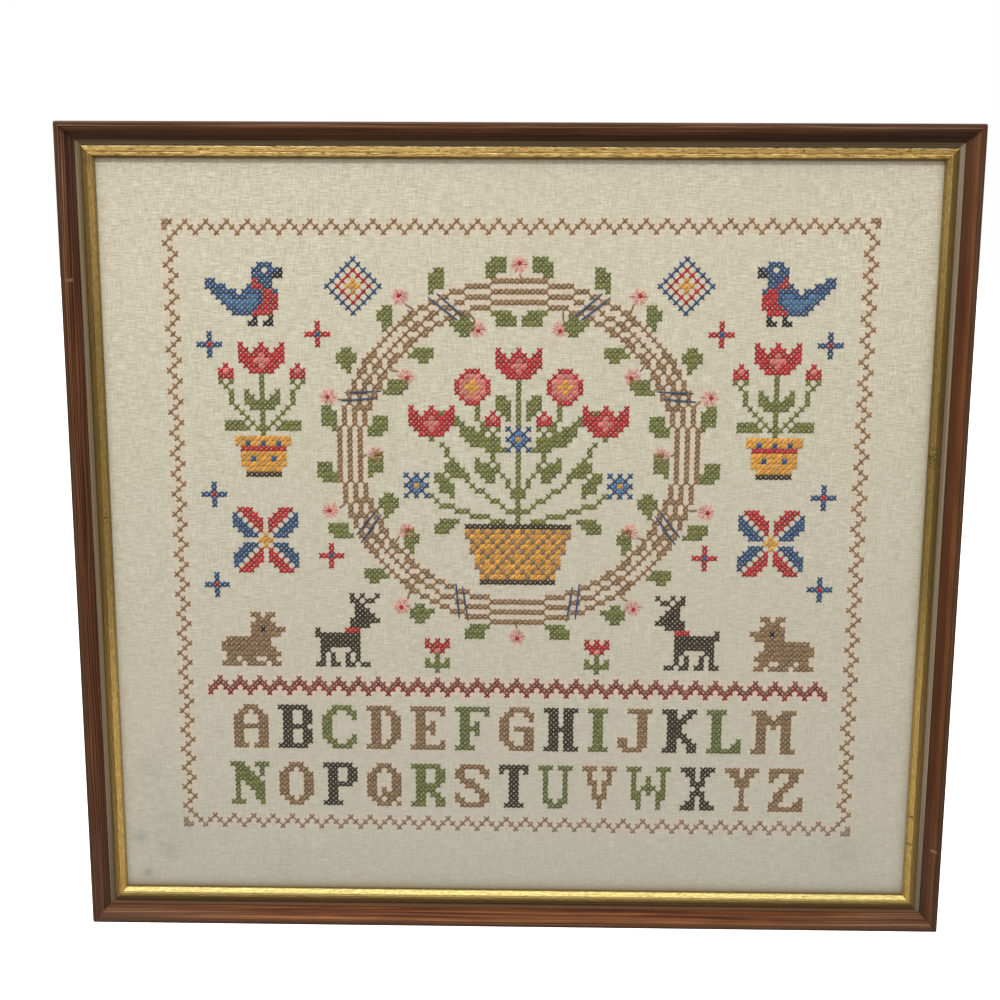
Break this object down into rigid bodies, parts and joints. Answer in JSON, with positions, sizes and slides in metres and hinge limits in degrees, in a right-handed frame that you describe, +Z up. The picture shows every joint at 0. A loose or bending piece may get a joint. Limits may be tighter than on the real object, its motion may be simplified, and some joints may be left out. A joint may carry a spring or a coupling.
{
  "type": "framed cross stitch sampler with its picture frame",
  "caption": "Cross stitch sampler on a stretched linen panel, in a mitred stained wood picture frame with a painted cove and a worn gilt slip, held to a wall by its back.",
  "frame": {"origin": "on the wall, at the middle of the top rail's flat back", "axes": "+Z up, -Y out of the wall towards the viewer, +X to the viewer's right"},
  "size_m": [0.55, 0.022, 0.5099],
  "materials": {
    "stained_wood": "red-brown stain under a thin satin varnish, with fine straight grain and a few nicks",
    "painted_cove": "matt grey-brown paint",
    "worn_gilt": "gold leaf over wood, rubbed and darkened along its edges",
    "natural_linen": "plain woven natural linen with slubs, embroidered in cotton",
    "hardboard": "bare brown hardboard"
  },
  "bodies": {
    "root": {"rail_top": "stained_wood", "rail_right": "stained_wood", "rail_bottom": "stained_wood", "rail_left": "stained_wood", "cove_top": "painted_cove", "cove_right": "painted_cove", "cove_bottom": "painted_cove", "cove_left": "painted_cove", "slip_top": "worn_gilt", "slip_right": "worn_gilt", "slip_bottom": "worn_gilt", "slip_left": "worn_gilt", "linen_panel": "natural_linen", "backing_board": "hardboard"}
  },
  "joints": []
}
